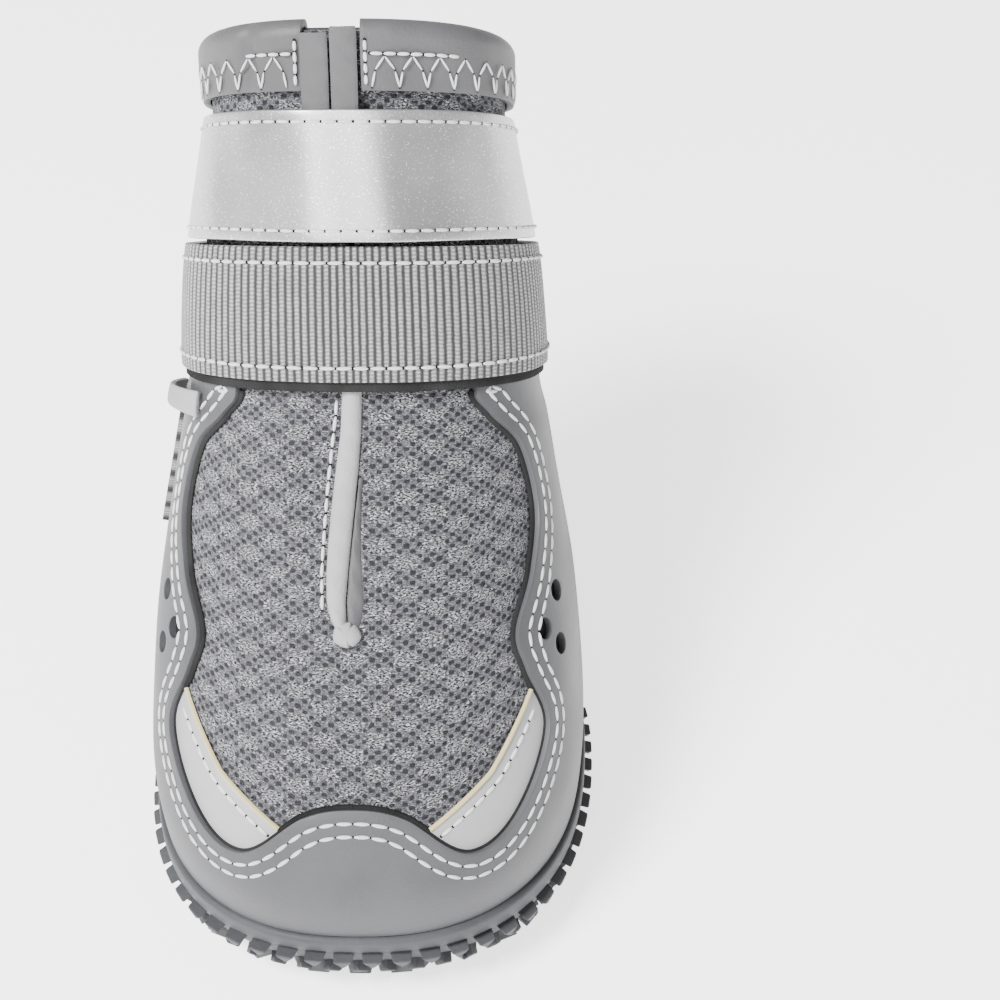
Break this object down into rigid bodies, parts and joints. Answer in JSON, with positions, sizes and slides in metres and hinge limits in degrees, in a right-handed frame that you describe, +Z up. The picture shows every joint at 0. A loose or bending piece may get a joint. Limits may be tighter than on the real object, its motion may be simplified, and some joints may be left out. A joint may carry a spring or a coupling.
{
  "type": "dog boot",
  "caption": "Soft dog boot with an air-mesh upper, smooth mudguard, lugged rubber cup sole, slit throat and two wrap straps",
  "frame": {"origin": "under the middle of the boot's box, on the ground", "axes": "+Z up; the toe points along -Y; +X is the side at the right of someone who faces the toe"},
  "size_m": [0.0762, 0.1146, 0.1357],
  "materials": {
    "rubber": "matt moulded grey rubber",
    "plate": "soft yellow plastic, bare",
    "foam": "dark fabric over foam",
    "mesh": "pale and lilac-grey melange air mesh",
    "overlay": "smooth grey coated fabric with a low sheen",
    "trim": "grey coated trim with pale zigzag stitches",
    "binding": "pale grey napped binding",
    "reflective": "silver-grey reflective satin",
    "webbing": "grey ribbed woven webbing"
  },
  "bodies": {
    "root": {"outsole": "rubber", "sole_plate": "plate", "insole": "foam", "upper": "mesh", "mudguard": "overlay", "collar_trim": "trim", "throat_binding": "binding", "strap_upper": "reflective", "strap_lower": "webbing", "strap_anchor": "webbing", "strap_loop": "binding"}
  },
  "joints": []
}
